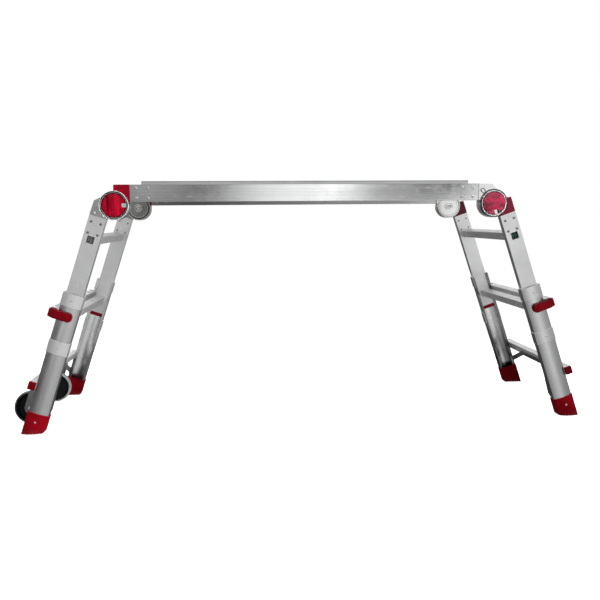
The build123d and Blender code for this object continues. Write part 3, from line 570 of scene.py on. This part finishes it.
# swaged collars of the inner rungs: a rolled bead inside the rail, a thin flange outside it
for name, side in SIDES:
    bm = bmesh.new()
    for end, near in ENDS:
        put = leg_place(side, near)
        for s in RUNG_S:
            square_bead(bm, put, RUNG_N, s, 248.9, RUNG_HALF + 0.5, 3.2, [(-1.0, -1.6), (0.6, -1.7), (1.7, -1.1), (2.1, 0.2), (1.9, 1.2), (-1.0, 1.2)])
            square_bead(bm, put, RUNG_N, s, 275.0, RUNG_HALF + 0.2, 2.8, [(-1.6, -0.4), (1.3, -0.4), (1.5, 0.1), (1.0, 0.35), (-0.9, 0.40), (-1.6, 0.1)])
    finish_piece(f"{name}_rung_swages", bm, ("rung",), f"{name}_upper_leg")

# plugs in the open ends of the inner rungs: a set-back plate with crossed ribs
def block(bm, put, n1, n2, s1, s2, y1, y2, c):
    """Box with its outer edge broken by c."""
    lo = [bm.verts.new(put(p)) for p in ((n1, s1, y1), (n2, s1, y1), (n2, s2, y1), (n1, s2, y1))]
    mid = [bm.verts.new(put(p)) for p in ((n1, s1, y2 - c), (n2, s1, y2 - c), (n2, s2, y2 - c), (n1, s2, y2 - c))]
    hi = [bm.verts.new(put(p)) for p in ((n1 + c, s1 + c, y2), (n2 - c, s1 + c, y2), (n2 - c, s2 - c, y2), (n1 + c, s2 - c, y2))]
    bm.faces.new(lo[::-1])
    bm.faces.new(hi)
    for a, b in ((lo, mid), (mid, hi)):
        for k in range(4):
            j = (k + 1) % 4
            bm.faces.new((a[k], a[j], b[j], b[k]))


for name, side in SIDES:
    bm = bmesh.new()
    for end, near in ENDS:
        put = leg_place(side, near)
        for s in RUNG_S:
            block(bm, put, RUNG_N - 13.2, RUNG_N + 13.2, s - 13.2, s + 13.2, 262.0, 269.5, 0.6)
            for a in (-7.5, 0.0, 7.5):
                block(bm, put, RUNG_N + a - 1.1, RUNG_N + a + 1.1, s - 12.6, s + 12.6, 269.2, 272.5, 0.4)
            block(bm, put, RUNG_N - 12.6, RUNG_N + 12.6, s - 1.1, s + 1.1, 269.2, 273.0, 0.4)
    finish_piece(f"{name}_rung_plugs", bm, (f"plug_{name}",), f"{name}_upper_leg", 25.0)


# crowned grips on the release knobs
def grip(bm, put):
    rows, cols, reach, wide, rise = 40, 36, 39.0, 21.3, 4.2
    top, low = [], []
    for i in range(rows + 1):
        n = -reach + 2 * reach * i / rows
        w = min(wide, math.sqrt(max(40.6 ** 2 - n * n, 1.0)))
        a, b = [], []
        for j in range(cols + 1):
            t = -1 + 2 * j / cols
            s = w * t
            e = min(1.0, 3.2 * (1 - abs(n) / reach) + 0.12)
            y = 289.3 + rise * max(0.0, 1 - t * t) ** 0.55 * e
            for g in (-9.0, 0.0, 9.0):
                y -= 0.55 * math.exp(-((s - g) / 0.9) ** 2) * e
            a.append(bm.verts.new(put((n, s, y))))
            b.append(bm.verts.new(put((n, s, 288.4))))
        top.append(a)
        low.append(b)
    for i in range(rows):
        for j in range(cols):
            bm.faces.new((top[i][j], top[i][j + 1], top[i + 1][j + 1], top[i + 1][j]))
            bm.faces.new((low[i][j], low[i + 1][j], low[i + 1][j + 1], low[i][j + 1]))
        for j in (0, cols):
            bm.faces.new((top[i][j], top[i + 1][j], low[i + 1][j], low[i][j]))
    for i in (0, rows):
        for j in range(cols):
            bm.faces.new((top[i][j], low[i][j], low[i][j + 1], top[i][j + 1]))


for name, side in SIDES:
    for end, near in ENDS:
        bm = bmesh.new()
        grip(bm, deck_place(side, near) if name == "left" else leg_place(side, near))
        finish_piece(f"{name}_knob_grip_{end}", bm, (f"knob_{name}",), f"{name}_knob_{end}", 50.0)

# wire clips at the platform side of the right-hand hinges: a long closed loop that reaches the rim
def wire(bm, put, path, r, y, closed):
    pts, frames = [], []
    for k, (n, s) in enumerate(path):
        q0 = path[k - 1] if closed or k else path[k]
        q1 = path[(k + 1) % len(path)] if closed or k < len(path) - 1 else path[k]
        d = math.hypot(q1[0] - q0[0], q1[1] - q0[1])
        tn, ts = (q1[0] - q0[0]) / d, (q1[1] - q0[1]) / d
        p = put((n, s, y))
        pts.append(p)
        frames.append((put((n - ts, s + tn, y)) - p, put((n, s, y + 1.0)) - p))
    sweep(bm, pts, frames, (circle(r, 10), None), closed)


bm = bmesh.new()
for end, near in ENDS:
    put = deck_place(1, near)
    wire(bm, put, [(46.6 + 10.5 * 0.752 * math.cos(a) - 6.4 * 0.660 * math.sin(a), 40.9 + 10.5 * 0.660 * math.cos(a) + 6.4 * 0.752 * math.sin(a)) for a in (2 * math.pi * k / 36 for k in range(36))], 1.4, 280.8, True)
finish_piece("right_hinge_clips", bm, ("wire",), "platform", 60.0)

# weld beads between the outer rungs and the rails
for name, side in SIDES:
    bm = bmesh.new()
    for end, near in ENDS:
        put = leg_place(side, near)
        for i, s in enumerate(ORUNG_S):
            for j, e in enumerate((-15.3, 15.3)):
                weld(bm, put, OUT_N2 + 0.6, s + e, 249.0, 275.5, 2.3, 1.7 * i + 0.9 * j + (0.4 if near else 2.2) + side)
    finish_piece(f"{name}_rung_welds", bm, ("weld",), f"{name}_lower_leg", 60.0)

# rivets through the collars, and the boot's fixing rivet
for name, side in SIDES:
    bm = bmesh.new()
    for end, near in ENDS:
        put = leg_place(side, near)
        for s in (373.5, 555.0):
            y = 286.75
            lathe(bm, put, 46.5, s, [(0, y - 1.0), (3.6, y - 1.0), (3.6, y + 0.1), (3.1, y + 0.7), (2.0, y + 1.1), (0.9, y + 1.25), (0, y + 1.25)], 18)
        y = 288.15
        lathe(bm, put, 45.0, 844.5, [(0, y - 1.2), (4.0, y - 1.2), (4.0, y + 0.1), (3.4, y + 0.8), (2.2, y + 1.3), (0, y + 1.5)], 20)
    finish_piece(f"{name}_leg_rivets", bm, ("rivet",), f"{name}_lower_leg")

# small plugs in the inner rails, flush with their outer face
for name, side in SIDES:
    bm = bmesh.new()
    for end, near in ENDS:
        lathe(bm, leg_place(side, near), 55.0, 257.5, [(0, 274.0), (2.6, 274.0), (2.6, 275.05), (2.2, 275.2), (1.4, 275.1), (0.9, 274.7), (0, 274.6)], 18, dark_from=4)
    finish_piece(f"{name}_rail_plugs", bm, ("rivet", "hole"), f"{name}_upper_leg")

# folded lips of the inner rails' end caps, on the open side of the channel
def plate(bm, put, n0, s0, hn, hs, r, y1, y2, c):
    """Rounded plate from y1 to its broken-edged face at y2."""
    rings = []
    up = 1.0 if y2 > y1 else -1.0
    for y, d in ((y1, 0.0), (y2 - up * c, 0.0), (y2 - up * 0.3 * c, 0.3 * c), (y2, c)):
        ring = []
        for cn, cs, a0 in ((1, 1, 0), (-1, 1, 90), (-1, -1, 180), (1, -1, 270)):
            for k in range(7):
                a = math.radians(a0 + 15.0 * k)
                ring.append(bm.verts.new(put((n0 + cn * (hn - r) + (r - d) * math.cos(a), s0 + cs * (hs - r) + (r - d) * math.sin(a), y))))
        rings.append(ring)
    for a, b in zip(rings, rings[1:]):
        for k in range(len(a)):
            j = (k + 1) % len(a)
            bm.faces.new((a[k], a[j], b[j], b[k]))
    bm.faces.new(rings[0][::-1])
    bm.faces.new(rings[-1])


for name, side in SIDES:
    bm = bmesh.new()
    for end, near in ENDS:
        plate(bm, leg_place(side, near), 42.4, 504.2, 25.4, 7.4, 2.6, 250.4, 248.3, 0.7)
    finish_piece(f"{name}_end_cap_lips", bm, ("lip",), f"{name}_upper_leg")

# gussets on the inner edge of the outer rails, from the lower rung to the boot
def gusset(bm, put):
    """Bent-edge plate along the rail: outline (y, s), thickness in n, its free edge rolled over."""
    outline = [(247.6, 700.0), (246.4, 706.0), (233.6, 788.0), (232.8, 795.0), (234.6, 798.6), (247.6, 811.0)]
    rings = []
    for n, d in ((9.2, 0.7), (9.8, 0.0), (12.4, 0.0), (13.0, 0.7)):
        rings.append([bm.verts.new(put((n, s + (d if k < 2 else -d if k > 3 else 0.0), y + (d if 0 < k < 5 else 0.0)))) for k, (y, s) in enumerate(outline)])
    for a, b in zip(rings, rings[1:]):
        for k in range(len(a)):
            j = (k + 1) % len(a)
            bm.faces.new((a[k], a[j], b[j], b[k]))
    bm.faces.new(rings[0][::-1])
    bm.faces.new(rings[-1])


for name, side in SIDES:
    bm = bmesh.new()
    for end, near in ENDS:
        put = leg_place(side, near)
        gusset(bm, put)
    finish_piece(f"{name}_rail_gussets", bm, ("dark_steel",), f"{name}_lower_leg", 25.0)

# swaged ends of the hinge axles, on the inner side
for name, side in SIDES:
    bm = bmesh.new()
    for end, near in ENDS:
        put = deck_place(side, near) if name == "left" else leg_place(side, near)
        lathe(bm, put, 0, 0, [(0, 241.0), (16.6, 241.0), (16.6, 239.6), (15.8, 239.2), (14.4, 239.2), (13.8, 239.5), (10.0, 239.6), (8.6, 238.8),
                              (7.2, 238.2), (5.6, 238.2), (4.6, 238.9), (3.2, 239.3), (0, 239.3)], 36, dark_from=10)
    finish_piece(f"{name}_axle_ends", bm, (f"axle_{name}", "steel"), "platform" if name == "left" else "right_upper_leg")

# domed nuts over the wheel bolts
bm = bmesh.new()
for end, near in ENDS:
    put = leg_place(-1, near)
    lathe(bm, put, 100.2, 841.0, [(0, 179.2), (8.6, 179.2), (8.6, 180.4), (7.4, 181.0), (7.4, 183.2), (6.6, 185.2), (4.6, 186.8), (2.2, 187.5), (0, 187.6)], 24)
finish_piece("left_wheel_cap_nuts", bm, ("rivet",), "left_lower_leg")


# flat screws that hold the planks to the cross members
def screw(bm, x, y, z):
    rings = []
    prof = [(0, -3.0), (2.2, -3.0), (4.4, -0.6), (5.0, 0.25), (4.6, 0.5), (2.3, 0.55), (2.1, -0.5), (0, -0.6)]
    seg = 20
    for r, h in prof:
        if r <= 0:
            rings.append([bm.verts.new((x, y, z + h * MM))])
        else:
            rings.append([bm.verts.new((x + r * MM * math.cos(2 * math.pi * k / seg), y + r * MM * math.sin(2 * math.pi * k / seg), z + h * MM)) for k in range(seg)])
    for i in range(len(rings) - 1):
        a, b = rings[i], rings[i + 1]
        for k in range(seg):
            j = (k + 1) % seg
            if len(a) == 1:
                f = bm.faces.new((a[0], b[k], b[j]))
            elif len(b) == 1:
                f = bm.faces.new((a[k], a[j], b[0]))
            else:
                f = bm.faces.new((a[k], a[j], b[j], b[k]))
            f.material_index = 1 if i >= 5 else 0


bm = bmesh.new()
for x in (-560, -190, 190, 560):
    for row in (-1, 0, 1):
        for k in (2, 10):
            y = row * 183.2 - 91.4 + 182.8 * (k + 0.5) / 13 + 182.8 / 26
            screw(bm, (x + XS) * MM, y * MM, 0.9141)
finish_piece("deck_screws", bm, ("rivet", "hole"), "platform")

# ------------------------------------------------------------------ floor, light, camera
me = bpy.data.meshes.new("floor")
bm = bmesh.new()
bmesh.ops.create_grid(bm, x_segments=2, y_segments=2, size=14.0)
bm.to_mesh(me)
bm.free()
floor = bpy.data.objects.new("floor", me)
bpy.context.scene.collection.objects.link(floor)
fm, nt, bsdf = new_material("pale_floor")
grain = noise(nt, coords(nt), 3.0, 3.0, 0.5)
nt.links.new(ramp(nt, grain, ((0.3, (0.93, 0.93, 0.93)), (0.7, (0.96, 0.96, 0.96)))), bsdf.inputs["Base Color"])
bsdf.inputs["Roughness"].default_value = 0.9
bsdf.inputs["Specular IOR Level"].default_value = 0.0
bsdf.inputs["Emission Color"].default_value = (1, 1, 1, 1)
# painted contact shadow: the floor's glow is dimmed by ambient occlusion near the object
ao = node(nt, "ShaderNodeAmbientOcclusion", samples=16)
ao.inputs["Distance"].default_value = 0.05
nt.links.new(maprange(nt, ao.outputs["AO"], 0.25, 1.0, 0.72, 0.97), bsdf.inputs["Emission Strength"])
me.materials.append(fm)
floor.visible_glossy = False
floor.visible_diffuse = False

scene = bpy.context.scene
scene.view_settings.view_transform = "Standard"
scene.view_settings.look = "None"
scene.view_settings.exposure = 0.0
scene.view_settings.gamma = 1.0

world = bpy.data.worlds.new("studio")
scene.world = world
world.use_nodes = True
world.cycles.sampling_method = "NONE"
wt = world.node_tree
wt.nodes.clear()
w_out = wt.nodes.new("ShaderNodeOutputWorld")
tc = wt.nodes.new("ShaderNodeTexCoord")
sep = wt.nodes.new("ShaderNodeSeparateXYZ")
wt.links.new(tc.outputs["Generated"], sep.inputs[0])
azimuth = maths(wt, "ARCTAN2", sep.outputs["X"], maths(wt, "MULTIPLY", sep.outputs["Y"], -1.0))
az = maprange(wt, azimuth, -math.pi, math.pi, 0.0, 1.0)
UP = sep.outputs["Z"]


def at(deg):
    return (deg + 180.0) / 360.0


def grey(v):
    return (v, v, v)


def panels(stops):
    return ramp(wt, az, [(at(d), grey(v)) for d, v in stops])


# soft panels and dark gaps all round, by direction: 0 degrees is the side of the camera, + is towards +X
BACK = ((152, 0.35), (160, 1.00), (170, 1.10), (178, 0.30))
upper = panels(((-180, 0.30), (-165, 0.80), (-154, 0.60), (-135, 0.12), (-75, 0.20), (-27, 0.30), (-21, 1.00), (-17, 0.90), (-13, 0.22), (-8.5, 0.46), (-6, 0.34), (-4.1, 0.22), (-2.3, 0.26),
                (-0.5, 0.66), (1.2, 1.05), (4.8, 1.20), (8.8, 1.60), (11.2, 0.54), (14.2, 0.42), (17.3, 0.17), (18.9, 0.08),
                (20.2, 0.60), (21.4, 1.25), (24, 1.10), (30, 0.75), (45, 0.50), (75, 0.25)) + BACK)
middle = panels(((-180, 0.30), (-165, 0.80), (-154, 0.60), (-135, 0.10), (-75, 0.06), (-40, 0.08), (-18, 0.15), (-12, 0.18), (-9.5, 0.17), (-7, 0.20), (-4, 0.26), (0, 0.80),
                 (5, 1.15), (9, 1.05), (12, 0.50), (15.5, 0.50), (16.5, 0.85), (18.2, 1.40), (21, 1.35), (24, 1.10), (30, 0.75), (45, 0.50), (75, 0.25), (120, 0.15)) + BACK)
lower = panels(((-180, 0.07), (-151, 0.08), (-140, 0.40), (-118, 0.45), (-98, 0.20), (-75, 0.05), (-48, 0.07), (-36, 0.18), (-30, 0.50), (-25, 0.95), (-20, 1.04), (-14, 1.00), (-11, 0.96), (-8, 0.90), (-3, 0.85),
                (3, 0.85), (10, 0.85), (18, 0.88), (22, 0.92), (26, 0.88), (32, 0.72), (42, 0.40), (60, 0.26), (90, 0.16), (115, 0.40), (140, 0.40),
                (152, 0.40), (162, 0.60), (172, 0.60), (177, 0.30)))
low = panels(((-180, 0.10), (-151, 0.10), (-140, 0.38), (-118, 0.42), (-98, 0.18), (-80, 0.06), (-67, 0.06), (-50, 0.09), (-33, 0.15), (-23, 0.21), (-10, 0.34), (3, 0.56), (15, 0.80),
              (23, 0.66), (30, 0.36), (38, 0.20), (55, 0.15), (80, 0.12), (98, 0.20), (115, 0.40), (142, 0.36), (152, 0.30), (161, 0.42), (167, 0.40), (172, 0.20), (178, 0.10)))
down = panels(((-180, 0.02), (-151, 0.03), (-140, 0.34), (-115, 0.36), (-92, 0.12), (-75, 0.02), (-60, 0.02), (-32, 0.05), (-18, 0.20), (-8, 0.37), (4, 0.43), (18, 0.42), (30, 0.42), (40, 0.25), (60, 0.12), (85, 0.14), (110, 0.36), (146, 0.34), (160, 0.12), (178, 0.02)))
gloss = mix(wt, maprange(wt, UP, 0.020, 0.030, 0.0, 1.0), middle, upper)
gloss = mix(wt, maprange(wt, UP, -0.030, -0.015, 1.0, 0.0), gloss, lower)
gloss = mix(wt, maprange(wt, UP, -0.156, -0.100, 1.0, 0.0), gloss, low)
gloss = mix(wt, maprange(wt, UP, -0.40, -0.20, 1.0, 0.0), gloss, down)
gloss = mix(wt, maprange(wt, UP, 0.26, 0.50, 0.0, 1.0), gloss, grey(0.90))
gloss = mix(wt, maprange(wt, UP, 0.75, 0.92, 0.0, 1.0), gloss, grey(0.35))
AMBIENT = 0.085
lp = wt.nodes.new("ShaderNodeLightPath")
light = mix(wt, lp.outputs["Is Glossy Ray"], grey(AMBIENT), gloss)
light = mix(wt, lp.outputs["Is Camera Ray"], light, grey(1.0))
bg = wt.nodes.new("ShaderNodeBackground")
wt.links.new(light, bg.inputs["Color"])
bg.inputs["Strength"].default_value = 1.0
wt.links.new(bg.outputs[0], w_out.inputs[0])


def area(name, loc, target, size, power, spread=180.0):
    """Soft light for the coloured plastics; the metals take their light from the panels round the stage."""
    d = bpy.data.lights.new(name, "AREA")
    d.shape = "RECTANGLE"
    d.size, d.size_y = size
    d.energy = power
    d.spread = math.radians(spread)
    o = bpy.data.objects.new(name, d)
    o.location = loc
    o.rotation_mode = "QUATERNION"
    o.rotation_quaternion = (Vector(target) - Vector(loc)).to_track_quat("-Z", "Y")
    o.visible_glossy = False
    o.visible_camera = False
    scene.collection.objects.link(o)
    return o


area("key_left", (0.15, -1.40, 0.75), (-0.90, -0.29, 0.42), (0.36, 0.95), 2.5, 24.0)
area("key_right", (1.75, -1.35, 0.95), (0.86, -0.28, 0.50), (0.40, 0.95), 2.3, 24.0)
area("back_left", (-0.95, 1.95, 1.05), (-0.85, 0.28, 0.45), (1.0, 1.0), 11.0, 70.0)
area("back_right", (0.95, 1.95, 1.05), (0.90, 0.28, 0.45), (1.0, 1.0), 11.0, 70.0)
area("side_left", (-2.9, 0.0, 0.95), (-0.95, 0.0, 0.40), (1.2, 1.0), 3.0, 60.0)
area("side_right", (2.9, 0.0, 0.95), (0.95, 0.0, 0.40), (1.2, 1.0), 3.0, 60.0)
area("top_softbox", (-0.3, -0.3, 3.2), (0.0, 0.0, 0.4), (3.0, 1.6), 12.0)

cam_data = bpy.data.cameras.new("camera")
cam = bpy.data.objects.new("camera", cam_data)
scene.collection.objects.link(cam)
cam_data.sensor_fit = "HORIZONTAL"
cam_data.sensor_width = 36.0
cam_data.lens = 633.2 / 600.0 * 36.0
cam_data.clip_start, cam_data.clip_end = 0.05, 200.0
yaw, pitch, roll = 0.0847, 0.1261, -0.0081
fwd = Vector((math.sin(yaw) * math.cos(pitch), math.cos(yaw) * math.cos(pitch), -math.sin(pitch)))
right = Vector((math.cos(yaw), -math.sin(yaw), 0.0))
up = right.cross(fwd)
r2 = math.cos(roll) * right + math.sin(roll) * up
u2 = -math.sin(roll) * right + math.cos(roll) * up
rot = Matrix((r2, u2, -fwd)).transposed().to_4x4()
cam.matrix_world = Matrix.Translation((-0.2311 + XS * MM, -2.6032, 0.7734)) @ rot
scene.camera = cam

bpy.context.view_layer.update()
